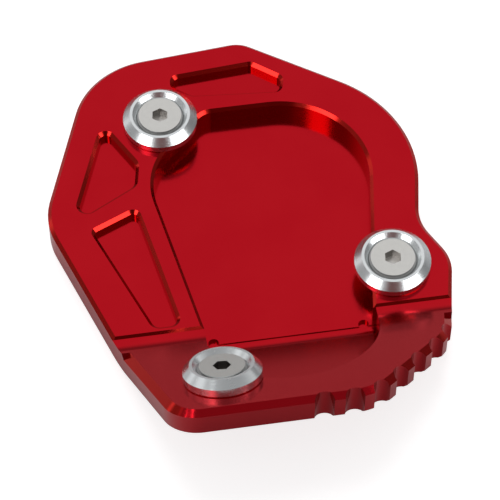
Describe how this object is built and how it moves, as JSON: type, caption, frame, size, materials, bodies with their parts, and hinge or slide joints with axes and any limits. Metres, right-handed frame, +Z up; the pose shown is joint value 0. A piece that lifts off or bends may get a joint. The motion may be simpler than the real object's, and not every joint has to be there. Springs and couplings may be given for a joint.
{
  "type": "kickstand foot enlarger",
  "caption": "Flat anodised plate with a raised toe lip that clamps under a motorcycle side stand's foot to spread its load on soft ground, held by overhanging round washers.",
  "frame": {"origin": "bottom centre of the bounding box, on the ground face", "axes": "+X along the fold to the right, +Y from the toe lip to the rear, +Z up from the ground"},
  "size_m": [0.1024, 0.1266, 0.0265],
  "materials": {
    "anodised_plate": "satin red anodised",
    "turned_washer": "bright turned",
    "screw": "satin stainless"
  },
  "bodies": {
    "root": {"base_plate": "anodised_plate", "rear_washer": "turned_washer", "right_washer": "turned_washer", "front_washer": "turned_washer", "countersunk_screws": "screw"}
  },
  "joints": []
}
